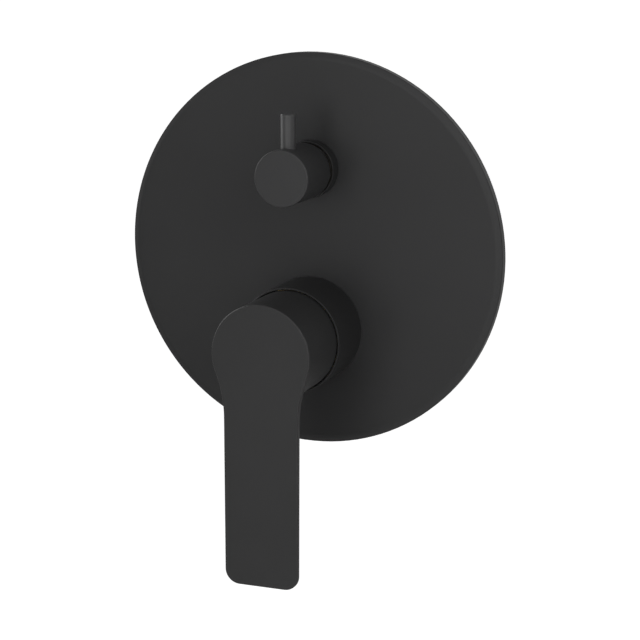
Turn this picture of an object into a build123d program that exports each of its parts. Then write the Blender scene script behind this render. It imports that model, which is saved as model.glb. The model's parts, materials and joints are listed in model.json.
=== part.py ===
from build123d import *
import os
from math import cos, radians, sin, sqrt, tan

# Concealed shower mixer: a lever mixer below, a two-way diverter above, one round cover plate.
# The origin is the middle of the plate on the finished wall. X is right, Z is up and the front
# faces -Y. Stations are distances forward of the wall, so what lies in the wall has a negative one.

# Layout
mixer_z = -36.0
spindle_spacing = 74.0

# Fits and small clearances
running_fit = 0.05
loose_fit = 0.3
seal_gap = 0.05
disc_film = 0.02
key_gap = 0.1
guide_gap = 0.15
screw_chamfer = 0.5

# Cover plate, a stamped shell
plate_r = 90.0
plate_depth = 5.0
plate_wall = 1.2
plate_band = 2.7
plate_band_drop = 0.7
plate_band_blend_r = 6.0
plate_corner_r = 0.4
collar_length = 3.0
gasket_width = 8.0
seat_width = 1.3

# Valve body, a brass casting in the wall
pipe_depth = 35.0
back_pad = 3.0
cast_blend_r = 2.0
cast_edge_r = 0.8
port_wall = 4.68
port_hex_rise = 0.5
port_hex_length = 10.0
port_thread_r = 9.32
port_thread_length = 15.0
port_mouth_chamfer = 1.0
inlet_reach = 55.0
top_reach = 35.0
bottom_reach = 48.0
pipe_bore_r = 6.0
pipe_bore_end = 12.0
drill_r = 3.4
outlet_bore_r = 4.0
fall_drop = 6.0
rise_r = 2.8
inner_web = 1.0
chamber_wall = 3.0
chamber_front = -6.0
diverter_wall = 3.2
lug_spacing_x = 64.0
lug_spacing_z = 100.0
lug_r = 7.0
lug_thickness = 6.0
lug_hole_r = 3.25

# Mixer neck and the nut that holds the cartridge
seat_station = 4.0
neck_wall = 2.2
neck_gap = 0.5
nut_back = 6.2
nut_wall = 2.25
nut_flat_depth = 0.9
nut_flange = 2.4
nut_round_length = 11.5

# Mixer sleeve
sleeve_wall = 1.5
sleeve_front = 33.5
sleeve_lip = 0.7
sleeve_grip = 3.3
sleeve_edge = 0.15
oring_cord = 1.5
oring_groove_width = 1.9
mixer_ring_inset = 4.3

# Cartridge, 35 mm
casing_r = 17.5
casing_wall = 3.2
casing_step = 1.9
casing_shoulder_drop = 7.0
casing_mouth = 4.0
casing_nose_length = 2.0
casing_nose_taper = 2.4
casing_nose_wall = 2.15
base_flange = 4.5
base_spigot = 1.0
seal_web = 0.3
seal_squeeze = 0.2
seal_recess = 1.3
port_peg_r = 1.9
port_peg_inset = 4.0
port_peg_length = 2.5
inlet_hole_r = 2.2
inlet_hole_x = 4.5
inlet_hole_z = -4.2
mixed_hole_r = 3.6
mixed_hole_z = 5.0
disc_gap = 0.5
disc_thickness = 3.5
key_r = 1.4
key_edge = 0.7
key_short = 0.6
moving_disc_room = 3.1
moving_disc_rise = 2.5
mixing_recess_depth = 1.4
mixing_recess_web = 0.9
mixing_recess_low = -3.7
mixing_recess_high = 6.4
carrier_plate = 3.5
carrier_boss_x = 11.9
carrier_boss_z = 12.0
carrier_boss_past_ball = 2.4
carrier_key_edge = 1.2
channel_room = 1.5

# Turret and stem, which tilts in it
turret_gap = 0.28
turret_collar = 8.1
turret_horn = 5.0
pivot_r = 1.5
pivot_inset = 0.6
lift_range = 20.0
stem_width = 8.0
stem_thickness = 7.0
stem_arm = 15.0
stem_tip_room = 2.0
stem_ball_r = 3.0
socket_web = 1.68
socket_gap = 0.25
socket_flare = 0.9
stem_waist = 4.4
stem_waist_length = 4.0
stem_taper_length = 5.0

# Lever handle
hub_gap = 0.5
hub_sink = 0.5
hub_length = 33.6
hub_skirt = 2.0
hub_front_wall = 5.6
hub_edge = 0.5
socket_boss_r = 9.5
socket_boss_clear = 5.0
lever_half = 17.44
lever_reach = 104.7
lever_neck_r = 55.0
lever_corner_r = 6.7
lever_thickness = 5.6
lever_edge = 2.7
lever_taper = 1.3
lever_root_r = 1.5
grub_inset = 6.0
grub_r = 2.5
grub_length = 8.0
grub_pillar = 8.4
plug_r = 3.0
plug_length = 3.0
plug_inset = 0.2
plug_hole_depth = 6.0

# Diverter
bonnet_nose_r = 10.4
nose_gap = 0.6
bonnet_front = 10.0
bonnet_shoulder = 1.6
bonnet_hex_length = 5.0
bonnet_shank_r = 11.9
bonnet_shank_length = 11.0
bonnet_wall = 3.1
bonnet_oring_cord = 1.7
bonnet_oring_room = 0.1
diverter_sleeve_wall = 1.9
diverter_sleeve_lip = 0.5
diverter_sleeve_grip = 1.4
diverter_ring_inset = 2.5
spindle_r = 4.0
spindle_cover = 8.8
spindle_foot = 3.3
diverter_disc_room = 0.6
spindle_end_chamfer = 0.5
spindle_flat = 3.0
spindle_flat_length = 14.0
spindle_oring_station = 1.0
spindle_oring_cord = 0.9
spindle_groove_width = 1.3
clip_thickness = 0.8
clip_r = 6.5
clip_groove_r = 3.4
clip_mouth = 5.4
clip_room = 0.2
drive_tongue = 1.3
drive_tongue_width = 4.0
diverter_disc = 3.0
disc_step = 2.0
diverter_seal_thickness = 1.5
diverter_way_r = 2.0
diverter_way_offset = 5.2
diverter_recess_depth = 1.2

# Diverter knob and its pin
knob_inset = 0.3
knob_length = 27.4
knob_edge = 0.5
knob_neck_length = 3.3
knob_neck_sink = 0.4
knob_pin_r = 3.4
knob_pin_inset = 8.6
knob_pin_length = 16.35
knob_pin_edge = 0.3
knob_pin_sink = 1.5
knob_pin_stud_r = 2.0
knob_pin_stud_length = 5.0
knob_grub_inset = 9.6
knob_grub_r = 2.0
knob_grub_length = 5.0
hex_key = 2.5
hex_key_depth = 2.0

# The body and the plate
diverter_z = mixer_z + spindle_spacing
top_outlet_z = diverter_z + top_reach
bottom_outlet_z = mixer_z - bottom_reach
trunk_r = port_thread_r + port_wall
port_hex = 2 * (trunk_r + port_hex_rise)
body_back = pipe_depth + trunk_r + back_pad
plate_inside = plate_depth - plate_wall

# Mixer radii, from the cartridge's casing outward
casing_neck_r = casing_r - casing_step
casing_nose_r = casing_neck_r - casing_nose_taper
turret_neck_r = casing_nose_r - casing_nose_wall - running_fit
neck_bore_r = casing_r + loose_fit
neck_r = neck_bore_r + neck_wall
chamber_wall_r = neck_r + chamber_wall
nut_r = neck_r + running_fit + nut_wall
nut_flat = 2 * (nut_r - nut_flat_depth)
sleeve_bore_r = nut_r + loose_fit
sleeve_r = sleeve_bore_r + sleeve_wall
plate_hole_r = sleeve_r - seat_width
hub_r = sleeve_r - sleeve_lip - hub_gap
cavity_r = hub_r - hub_skirt
hub_middle_r = hub_r - hub_skirt / 2

# Sizes inside the cartridge, from its bore inward
casing_bore_r = casing_r - casing_wall
port_peg_x = casing_r - port_peg_inset
fixed_disc_r = casing_bore_r - disc_gap
key_x = casing_bore_r - key_edge - key_r
seal_r = key_x - key_r - seal_web
moving_disc_r = casing_bore_r - moving_disc_room
carrier_key_x = moving_disc_r - carrier_key_edge - key_r
mixing_recess_half = carrier_key_x - key_r - key_gap - mixing_recess_web
pivot_half = turret_neck_r - pivot_inset

# Mixer stations, from the cartridge's seat forward
base_rear = seat_station + loose_fit
casing_back = base_rear + base_flange
base_front = casing_back + base_spigot
fixed_disc_back = base_front + seal_squeeze
moving_disc_back = fixed_disc_back + disc_thickness + disc_film
carrier_back = moving_disc_back + disc_thickness
carrier_front = carrier_back + carrier_plate
socket_floor = carrier_back + socket_web
stem_ball_station = socket_floor + loose_fit + stem_ball_r
carrier_boss_front = stem_ball_station + carrier_boss_past_ball
channel_front = carrier_boss_front + channel_room
turret_rear = carrier_front + turret_gap
casing_ceiling = turret_rear + turret_collar + key_gap
casing_front = casing_ceiling + casing_mouth
casing_shoulder = casing_ceiling - casing_shoulder_drop
neck_front = casing_shoulder - neck_gap
nut_front = casing_shoulder + nut_flange
pivot_station = stem_ball_station + stem_arm
turret_front = pivot_station + turret_horn
stem_waist_front = stem_ball_station + stem_waist_length
stem_taper_front = stem_waist_front + stem_taper_length
mixer_oring_station = nut_back + mixer_ring_inset
sleeve_step = mixer_oring_station + sleeve_grip
hub_back = sleeve_front - hub_sink
hub_front = hub_back + hub_length
cavity_front = hub_front - hub_front_wall
stem_front = cavity_front - stem_tip_room
socket_boss_back = turret_front + socket_boss_clear
grub_station = socket_boss_back + grub_inset

# Diverter radii, from the bonnet's shank and nose
bonnet_hex = 2 * (bonnet_shank_r + bonnet_shoulder)
bonnet_cavity_r = bonnet_shank_r - bonnet_wall
diverter_disc_r = bonnet_cavity_r - loose_fit
diverter_bore_r = bonnet_shank_r + running_fit
ring_seat_r = bonnet_shank_r + bonnet_oring_cord + 2 * bonnet_oring_room
diverter_wall_r = ring_seat_r + diverter_wall
diverter_sleeve_bore_r = bonnet_nose_r + nose_gap
diverter_sleeve_r = diverter_sleeve_bore_r + diverter_sleeve_wall
diverter_hole_r = diverter_sleeve_r - seat_width
knob_neck_r = diverter_sleeve_bore_r - nose_gap
knob_r = diverter_sleeve_r - knob_inset
knob_pin_seat = knob_r - knob_pin_sink

# Diverter stations, from the body's front face
bonnet_hex_back = chamber_front
bonnet_back = bonnet_hex_back - bonnet_shank_length
diverter_fixed_back = bonnet_back - disc_step
diverter_floor = diverter_fixed_back - diverter_seal_thickness
diverter_moving_back = diverter_fixed_back + diverter_disc + disc_film
spindle_foot_back = diverter_moving_back + diverter_disc + disc_film
spindle_foot_front = spindle_foot_back + spindle_foot
bonnet_ceiling = spindle_foot_front + diverter_disc_room
diverter_oring_station = bonnet_front - diverter_ring_inset
diverter_sleeve_step = diverter_oring_station + diverter_sleeve_grip
clip_back = bonnet_front + key_gap
knob_neck_back = clip_back + clip_thickness + clip_room
diverter_sleeve_front = knob_neck_back + knob_neck_sink
knob_back = knob_neck_back + knob_neck_length
knob_front = knob_back + knob_length
knob_pin_station = knob_front - knob_pin_inset
knob_grub_station = knob_back + knob_grub_inset
spindle_front = knob_front - spindle_cover
spindle_flat_back = spindle_front - spindle_flat_length

mixer_axis = Axis((0, 0, mixer_z), (0, -1, 0))
diverter_axis = Axis((0, 0, diverter_z), (0, -1, 0))


def face_plane(station, height=0.0):
    """The plane parallel to the wall at a station: local x is X and local y is Z above height."""
    return Plane(origin=(0, -station, height), x_dir=(1, 0, 0), z_dir=(0, -1, 0))


def section_plane(height=0.0):
    """A level plane for half sections: local x is the radius and local y the station."""
    return Plane(origin=(0, 0, height), x_dir=(1, 0, 0), z_dir=(0, 0, -1))


def side_plane(height=0.0):
    """The upright plane through a spindle: local x is the station and local y is Z above height."""
    return Plane(origin=(0, 0, height), x_dir=(0, -1, 0), z_dir=(-1, 0, 0))


def upright_plane(station, height):
    """A level plane at a station: local x is X and what is extruded from it rises."""
    return Plane(origin=(0, -station, height), x_dir=(1, 0, 0), z_dir=(0, 0, 1))


def sideways_plane(x, station, height):
    """A plane square to X at a station: what is extruded from it goes to the right."""
    return Plane(origin=(x, -station, height), x_dir=(0, 1, 0), z_dir=(1, 0, 0))


def save(piece, name):
    piece.label = name
    export_step(piece, f"parts/{name}.step")


os.makedirs("parts", exist_ok=True)

# The plate's shell is a revolved section with collars turned back round the two spindles' holes
plate_side = plate_r - plate_wall
with BuildPart() as cover_plate:
    with BuildSketch(section_plane()) as plate_section:
        with BuildLine():
            Polyline(
                (0, plate_inside),
                (0, plate_depth),
                (plate_r - plate_band, plate_depth),
                (plate_r, plate_depth - plate_band_drop),
                (plate_r, 0),
                (plate_side, 0),
                (plate_side, plate_inside - plate_band_drop),
                (plate_side - plate_band, plate_inside),
                close=True,
            )
        make_face()
        front_corner = plate_section.vertices().group_by(Axis.X)[-1].sort_by(Axis.Y)[-1]
        fillet(front_corner, plate_corner_r)
        band_edge = plate_section.vertices().group_by(Axis.Y)[-1].sort_by(Axis.X)[-1]
        fillet(band_edge, plate_band_blend_r)
    revolve(axis=Axis((0, 0, 0), (0, -1, 0)))
    for height, hole_r in ((mixer_z, plate_hole_r), (diverter_z, diverter_hole_r)):
        with BuildSketch(face_plane(plate_inside - collar_length, height)):
            Circle(hole_r + plate_wall)
        extrude(amount=collar_length)
        with BuildSketch(face_plane(0, height)):
            Circle(hole_r)
        extrude(amount=plate_depth, mode=Mode.SUBTRACT)
save(cover_plate.part, "cover_plate")

# A foam ring fills the shell's rim and seals it to the wall
with BuildPart() as wall_gasket:
    with BuildSketch(face_plane(0)):
        Circle(plate_side - plate_band)
        Circle(plate_side - plate_band - gasket_width, mode=Mode.SUBTRACT)
    extrude(amount=plate_inside)
save(wall_gasket.part, "wall_gasket")

# The valve body: two crossing trunks, a chamber for each spindle and two bars of fixing lugs
trunk_length = top_outlet_z - bottom_outlet_z
lug_mid_z = diverter_z - lug_spacing_z / 2
ports = (
    Plane(origin=(-inlet_reach, pipe_depth, mixer_z), x_dir=(0, 0, 1), z_dir=(-1, 0, 0)),
    Plane(origin=(inlet_reach, pipe_depth, mixer_z), x_dir=(0, 0, 1), z_dir=(1, 0, 0)),
    Plane(origin=(0, pipe_depth, top_outlet_z), x_dir=(1, 0, 0), z_dir=(0, 0, 1)),
    Plane(origin=(0, pipe_depth, bottom_outlet_z), x_dir=(1, 0, 0), z_dir=(0, 0, -1)),
)
with BuildPart() as valve_body:
    with BuildSketch(upright_plane(-pipe_depth, bottom_outlet_z)):
        Circle(trunk_r)
    extrude(amount=trunk_length)
    with BuildSketch(sideways_plane(-inlet_reach, -pipe_depth, mixer_z)):
        Circle(trunk_r)
    extrude(amount=2 * inlet_reach)
    with BuildSketch(face_plane(-body_back, mixer_z)):
        Circle(chamber_wall_r)
    extrude(amount=body_back + chamber_front)
    with BuildSketch(face_plane(-body_back, diverter_z)):
        Circle(diverter_wall_r)
    extrude(amount=body_back + bonnet_hex_back)
    # the casting is blended where trunks and chambers cross, and its chambers' ends are rounded
    plain = (GeomType.CIRCLE, GeomType.LINE)
    crossings = [edge for edge in valve_body.edges() if edge.geom_type not in plain]
    fillet(crossings, cast_blend_r)
    ends = valve_body.edges().filter_by(GeomType.CIRCLE).group_by(Axis.Y)
    fillet(ends[0] + ends[-1], cast_edge_r)
    with BuildSketch(face_plane(-body_back, lug_mid_z)):
        with GridLocations(0, lug_spacing_z, 1, 2):
            SlotCenterToCenter(lug_spacing_x, 2 * lug_r)
    extrude(amount=lug_thickness)
    with BuildSketch(face_plane(chamber_front, mixer_z)):
        Circle(neck_r)
    extrude(amount=neck_front - chamber_front)
    for port in ports:
        with BuildSketch(port):
            RegularPolygon(port_hex / 2, 6, major_radius=False)
        extrude(amount=-port_hex_length)
    # the cartridge's chamber and its seat's ways, drilled from the front
    with BuildSketch(face_plane(seat_station, mixer_z)):
        Circle(neck_bore_r)
    extrude(amount=neck_front - seat_station, mode=Mode.SUBTRACT)
    with BuildSketch(face_plane(seat_station, mixer_z)):
        with Locations((-inlet_hole_x, inlet_hole_z), (inlet_hole_x, inlet_hole_z)):
            Circle(inlet_hole_r)
    extrude(amount=-(pipe_depth + seat_station), mode=Mode.SUBTRACT)
    rise_depth = pipe_depth - drill_r - inner_web - rise_r
    with BuildSketch(face_plane(seat_station, mixer_z)):
        with Locations((0, mixed_hole_z)):
            Circle(mixed_hole_r)
    extrude(amount=-(rise_depth + seat_station), mode=Mode.SUBTRACT)
    with BuildSketch(face_plane(seat_station, mixer_z)):
        with Locations((-port_peg_x, 0), (port_peg_x, 0)):
            Circle(port_peg_r + running_fit)
    extrude(amount=-(port_peg_length + loose_fit), mode=Mode.SUBTRACT)
    # the diverter's chamber: a thread for the bonnet, a seat for its ring and a bore for the discs
    with BuildSketch(face_plane(bonnet_back - loose_fit, diverter_z)):
        Circle(diverter_bore_r)
    extrude(amount=bonnet_hex_back - bonnet_back + loose_fit, mode=Mode.SUBTRACT)
    with BuildSketch(face_plane(bonnet_hex_back, diverter_z)):
        Circle(ring_seat_r)
    extrude(amount=-(bonnet_oring_cord + bonnet_oring_room), mode=Mode.SUBTRACT)
    with BuildSketch(face_plane(diverter_floor, diverter_z)):
        Circle(bonnet_cavity_r)
    extrude(amount=bonnet_back - diverter_floor, mode=Mode.SUBTRACT)
    # mixed water rises between the inlets to the middle of the diverter's floor
    with BuildSketch(upright_plane(-rise_depth, mixer_z + mixed_hole_z)):
        Circle(rise_r)
    extrude(amount=spindle_spacing - mixed_hole_z, mode=Mode.SUBTRACT)
    with BuildSketch(face_plane(-rise_depth, diverter_z)):
        Circle(diverter_way_r)
    extrude(amount=rise_depth + diverter_floor, mode=Mode.SUBTRACT)
    # the diverter's two ways run back to the outlets' bores
    with BuildSketch(face_plane(diverter_floor, diverter_z)):
        with Locations((0, diverter_way_offset)):
            Circle(diverter_way_r)
    extrude(amount=-(pipe_depth + diverter_floor), mode=Mode.SUBTRACT)
    fall_depth = pipe_depth + fall_drop
    with BuildSketch(face_plane(diverter_floor, diverter_z)):
        with Locations((diverter_way_offset, 0)):
            Circle(diverter_way_r)
    extrude(amount=-(fall_depth + diverter_floor), mode=Mode.SUBTRACT)
    fall_length = diverter_z - bottom_outlet_z - port_thread_length / 2
    with BuildSketch(upright_plane(-fall_depth, diverter_z)):
        with Locations((diverter_way_offset, 0)):
            Circle(diverter_way_r)
    extrude(amount=-fall_length, mode=Mode.SUBTRACT)
    # the outlets' plain bore, and for each inlet a bore and a drilling that meets the seat's way
    top_bore_end = diverter_z + diverter_way_offset
    with BuildSketch(upright_plane(-pipe_depth, top_bore_end)):
        Circle(outlet_bore_r)
    extrude(amount=top_outlet_z - port_thread_length - top_bore_end, mode=Mode.SUBTRACT)
    for side in (-1, 1):
        with BuildSketch(sideways_plane(side * pipe_bore_end, -pipe_depth, mixer_z)):
            Circle(pipe_bore_r)
        bore_length = inlet_reach - port_thread_length - pipe_bore_end
        extrude(amount=side * bore_length, mode=Mode.SUBTRACT)
        with BuildSketch(sideways_plane(side * inlet_hole_x, -pipe_depth, mixer_z)):
            Circle(drill_r)
        extrude(amount=side * pipe_bore_end, mode=Mode.SUBTRACT)
    # threaded sockets with a chamfered mouth
    mouth_r = port_thread_r + port_mouth_chamfer
    with Locations(*ports):
        CounterSinkHole(port_thread_r, mouth_r, depth=port_thread_length, counter_sink_angle=90)
    with BuildSketch(face_plane(-body_back, lug_mid_z)):
        with GridLocations(lug_spacing_x, lug_spacing_z, 2, 2):
            Circle(lug_hole_r)
    extrude(amount=lug_thickness, mode=Mode.SUBTRACT)
save(valve_body.part, "valve_body")

# The nut screws on the neck and presses the cartridge's shoulder down; a ring grips the sleeve
mixer_ring_r = sleeve_bore_r - seal_gap - oring_cord / 2
with BuildPart() as cartridge_nut:
    with BuildSketch(face_plane(nut_back, mixer_z)):
        RegularPolygon(nut_flat / 2, 6, major_radius=False)
        Circle(nut_r, mode=Mode.INTERSECT)
    extrude(amount=nut_front - nut_back)
    with BuildSketch(face_plane(nut_back, mixer_z)):
        Circle(nut_r)
    extrude(amount=nut_round_length)
    with BuildSketch(face_plane(nut_back, mixer_z)):
        Circle(neck_r + running_fit)
    extrude(amount=casing_shoulder - nut_back, mode=Mode.SUBTRACT)
    with BuildSketch(face_plane(casing_shoulder, mixer_z)):
        Circle(casing_neck_r + loose_fit)
    extrude(amount=nut_flange, mode=Mode.SUBTRACT)
    with BuildSketch(face_plane(mixer_oring_station - oring_groove_width / 2, mixer_z)):
        Circle(sleeve_r)
        Circle(mixer_ring_r - oring_cord / 2 - seal_gap, mode=Mode.SUBTRACT)
    extrude(amount=oring_groove_width, mode=Mode.SUBTRACT)
save(cartridge_nut.part, "cartridge_nut")

with BuildPart() as mixer_sleeve_oring:
    with BuildSketch(section_plane(mixer_z)):
        with Locations((mixer_ring_r, mixer_oring_station)):
            Circle(oring_cord / 2)
    revolve(axis=mixer_axis)
save(mixer_sleeve_oring.part, "mixer_sleeve_oring")

# The sleeve stands on the plate; its thin front mouth takes the handle's skirt as it tilts
with BuildPart() as mixer_sleeve:
    with BuildSketch(section_plane(mixer_z)):
        with BuildLine():
            Polyline(
                (sleeve_bore_r, plate_depth),
                (sleeve_r, plate_depth),
                (sleeve_r, sleeve_front - sleeve_edge),
                (sleeve_r - sleeve_edge, sleeve_front),
                (sleeve_r - sleeve_lip, sleeve_front),
                (sleeve_r - sleeve_lip, sleeve_step + sleeve_lip),
                (sleeve_bore_r, sleeve_step),
                close=True,
            )
        make_face()
    revolve(axis=mixer_axis)
save(mixer_sleeve.part, "mixer_sleeve")

# Cartridge base, with two pegs behind it and two keys in front for the fixed disc
with BuildPart() as cartridge_base:
    with BuildSketch(face_plane(base_rear, mixer_z)):
        Circle(casing_r)
    extrude(amount=base_flange)
    with BuildSketch(face_plane(casing_back, mixer_z)):
        Circle(casing_bore_r - running_fit)
    extrude(amount=base_spigot)
    with BuildSketch(face_plane(base_rear, mixer_z)):
        with Locations((-port_peg_x, 0), (port_peg_x, 0)):
            Circle(port_peg_r)
    extrude(amount=-(port_peg_length + base_rear - seat_station))
    with BuildSketch(face_plane(base_front, mixer_z)):
        with Locations((-key_x, 0), (key_x, 0)):
            Circle(key_r)
    extrude(amount=seal_squeeze + disc_thickness - key_short)
    with BuildSketch(face_plane(base_rear, mixer_z)):
        Circle(seal_r + seal_gap)
    extrude(amount=seal_recess, mode=Mode.SUBTRACT)
    with BuildSketch(face_plane(base_front, mixer_z)):
        Circle(seal_r + seal_gap)
    extrude(amount=-seal_recess, mode=Mode.SUBTRACT)
    with BuildSketch(face_plane(base_rear, mixer_z)):
        with Locations((-inlet_hole_x, inlet_hole_z), (inlet_hole_x, inlet_hole_z)):
            Circle(inlet_hole_r)
        with Locations((0, mixed_hole_z)):
            Circle(mixed_hole_r)
    extrude(amount=base_flange + base_spigot, mode=Mode.SUBTRACT)
save(cartridge_base.part, "cartridge_base")


def cartridge_seal(back, thickness):
    """A round seal with the two inlets' holes and the mixed water's hole through it."""
    with BuildPart() as disc:
        with BuildSketch(face_plane(back, mixer_z)):
            Circle(seal_r)
            with Locations((-inlet_hole_x, inlet_hole_z), (inlet_hole_x, inlet_hole_z)):
                Circle(inlet_hole_r, mode=Mode.SUBTRACT)
            with Locations((0, mixed_hole_z)):
                Circle(mixed_hole_r, mode=Mode.SUBTRACT)
        extrude(amount=thickness)
    return disc.part


save(cartridge_seal(seat_station, base_rear - seat_station + seal_recess), "base_seal")
save(cartridge_seal(base_front - seal_recess, seal_recess + seal_squeeze), "disc_seal")

# The fixed disc has the same holes and a notch each side for the base's keys
with BuildPart() as fixed_disc:
    with BuildSketch(face_plane(fixed_disc_back, mixer_z)):
        Circle(fixed_disc_r)
        with Locations((-inlet_hole_x, inlet_hole_z), (inlet_hole_x, inlet_hole_z)):
            Circle(inlet_hole_r, mode=Mode.SUBTRACT)
        with Locations((0, mixed_hole_z)):
            Circle(mixed_hole_r, mode=Mode.SUBTRACT)
        with Locations((-key_x, 0), (key_x, 0)):
            Circle(key_r + key_gap, mode=Mode.SUBTRACT)
        for side in (-1, 1):
            with Locations((side * (key_x + fixed_disc_r / 2), 0)):
                Rectangle(fixed_disc_r, 2 * (key_r + key_gap), mode=Mode.SUBTRACT)
    extrude(amount=disc_thickness)
save(fixed_disc.part, "fixed_disc")

# The moving disc is hollowed at the back, so that it joins the inlets to the mixed water's hole
recess_height = mixing_recess_high - mixing_recess_low
recess_mid = (mixing_recess_high + mixing_recess_low) / 2
moving_disc_z = mixer_z + moving_disc_rise
with BuildPart() as moving_disc:
    with BuildSketch(face_plane(moving_disc_back, moving_disc_z)):
        Circle(moving_disc_r)
        with Locations((-carrier_key_x, 0), (carrier_key_x, 0)):
            Circle(key_r + key_gap, mode=Mode.SUBTRACT)
    extrude(amount=disc_thickness)
    with BuildSketch(face_plane(moving_disc_back, moving_disc_z)):
        with Locations((0, recess_mid)):
            RectangleRounded(2 * mixing_recess_half, recess_height, key_r)
    extrude(amount=mixing_recess_depth, mode=Mode.SUBTRACT)
save(moving_disc.part, "moving_disc")

# The carrier drives the moving disc; its boss slides in the turret's channel
with BuildPart() as disc_carrier:
    with BuildSketch(face_plane(carrier_back, moving_disc_z)):
        Circle(moving_disc_r)
    extrude(amount=carrier_plate)
    with BuildSketch(face_plane(carrier_front, mixer_z)):
        Rectangle(carrier_boss_x, carrier_boss_z)
    extrude(amount=carrier_boss_front - carrier_front)
    with BuildSketch(face_plane(carrier_back, moving_disc_z)):
        with Locations((-carrier_key_x, 0), (carrier_key_x, 0)):
            Circle(key_r)
    extrude(amount=-(disc_thickness - mixing_recess_depth - loose_fit))
    with BuildSketch(side_plane(mixer_z)):
        socket_half = stem_ball_r + socket_gap
        flare = socket_half + socket_flare
        with BuildLine():
            Polyline(
                (socket_floor, -socket_half),
                (carrier_boss_front - socket_flare, -socket_half),
                (carrier_boss_front, -flare),
                (carrier_boss_front, flare),
                (carrier_boss_front - socket_flare, socket_half),
                (socket_floor, socket_half),
                close=True,
            )
        make_face()
    extrude(amount=stem_width / 2 + loose_fit, both=True, mode=Mode.SUBTRACT)
save(disc_carrier.part, "disc_carrier")

# The casing is a turned cup with a shoulder for the nut and a mouth for the turret's neck
with BuildPart() as cartridge_casing:
    with BuildSketch(section_plane(mixer_z)):
        with BuildLine():
            Polyline(
                (casing_bore_r, casing_back),
                (casing_r, casing_back),
                (casing_r, casing_shoulder),
                (casing_neck_r, casing_shoulder),
                (casing_neck_r, casing_front - casing_nose_length),
                (casing_nose_r, casing_front),
                (turret_neck_r + running_fit, casing_front),
                (turret_neck_r + running_fit, casing_ceiling),
                (casing_bore_r, casing_ceiling),
                close=True,
            )
        make_face()
    revolve(axis=mixer_axis)
save(cartridge_casing.part, "cartridge_casing")

# The turret turns in the casing; a channel behind guides the carrier and a window lets the stem tilt
stem_half = stem_thickness / 2
window_side = stem_width / 2 + key_gap
window_pivot = stem_half / cos(radians(lift_range)) + loose_fit
window_front = (turret_front - pivot_station) * tan(radians(lift_range)) + window_pivot
window_back = (pivot_station - turret_rear) * tan(radians(lift_range)) + window_pivot
with BuildPart() as turret:
    with BuildSketch(face_plane(turret_rear, mixer_z)):
        Circle(casing_bore_r - running_fit)
    extrude(amount=casing_ceiling - key_gap - turret_rear)
    with BuildSketch(face_plane(turret_rear, mixer_z)):
        Circle(turret_neck_r)
    extrude(amount=turret_front - turret_rear)
    with BuildSketch(face_plane(turret_rear, mixer_z)):
        Rectangle(carrier_boss_x + 2 * guide_gap, 2 * casing_bore_r)
    extrude(amount=channel_front - turret_rear, mode=Mode.SUBTRACT)
    with BuildSketch(side_plane(mixer_z)):
        with BuildLine():
            Polyline(
                (turret_rear, stem_half + loose_fit),
                (pivot_station, window_pivot),
                (turret_front, window_front),
                (turret_front, -stem_half - loose_fit),
                (pivot_station, -window_pivot),
                (turret_rear, -window_back),
                close=True,
            )
        make_face()
    extrude(amount=window_side, both=True, mode=Mode.SUBTRACT)
    with BuildSketch(side_plane(mixer_z)):
        with Locations((pivot_station, 0)):
            Circle(pivot_r + disc_film)
    extrude(amount=turret_neck_r, both=True, mode=Mode.SUBTRACT)
save(turret.part, "turret")

with BuildPart() as pivot_pin:
    with BuildSketch(side_plane(mixer_z)):
        with Locations((pivot_station, 0)):
            Circle(pivot_r)
    extrude(amount=pivot_half, both=True)
save(pivot_pin.part, "pivot_pin")

# The stem is a milled bar with a round end that drives the carrier
with BuildPart() as stem:
    with BuildSketch(side_plane(mixer_z)):
        with BuildLine():
            Polyline(
                (stem_ball_station, -stem_waist / 2),
                (stem_waist_front, -stem_waist / 2),
                (stem_taper_front, -stem_half),
                (stem_front, -stem_half),
                (stem_front, stem_half),
                (stem_taper_front, stem_half),
                (stem_waist_front, stem_waist / 2),
                (stem_ball_station, stem_waist / 2),
                close=True,
            )
        make_face()
        with Locations((stem_ball_station, 0)):
            Circle(stem_ball_r)
        with Locations((pivot_station, 0)):
            Circle(pivot_r + running_fit, mode=Mode.SUBTRACT)
    extrude(amount=stem_width / 2, both=True)
    chamfer(stem.faces().sort_by(Axis.Y)[0].edges(), screw_chamfer)
save(stem.part, "stem")

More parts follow.
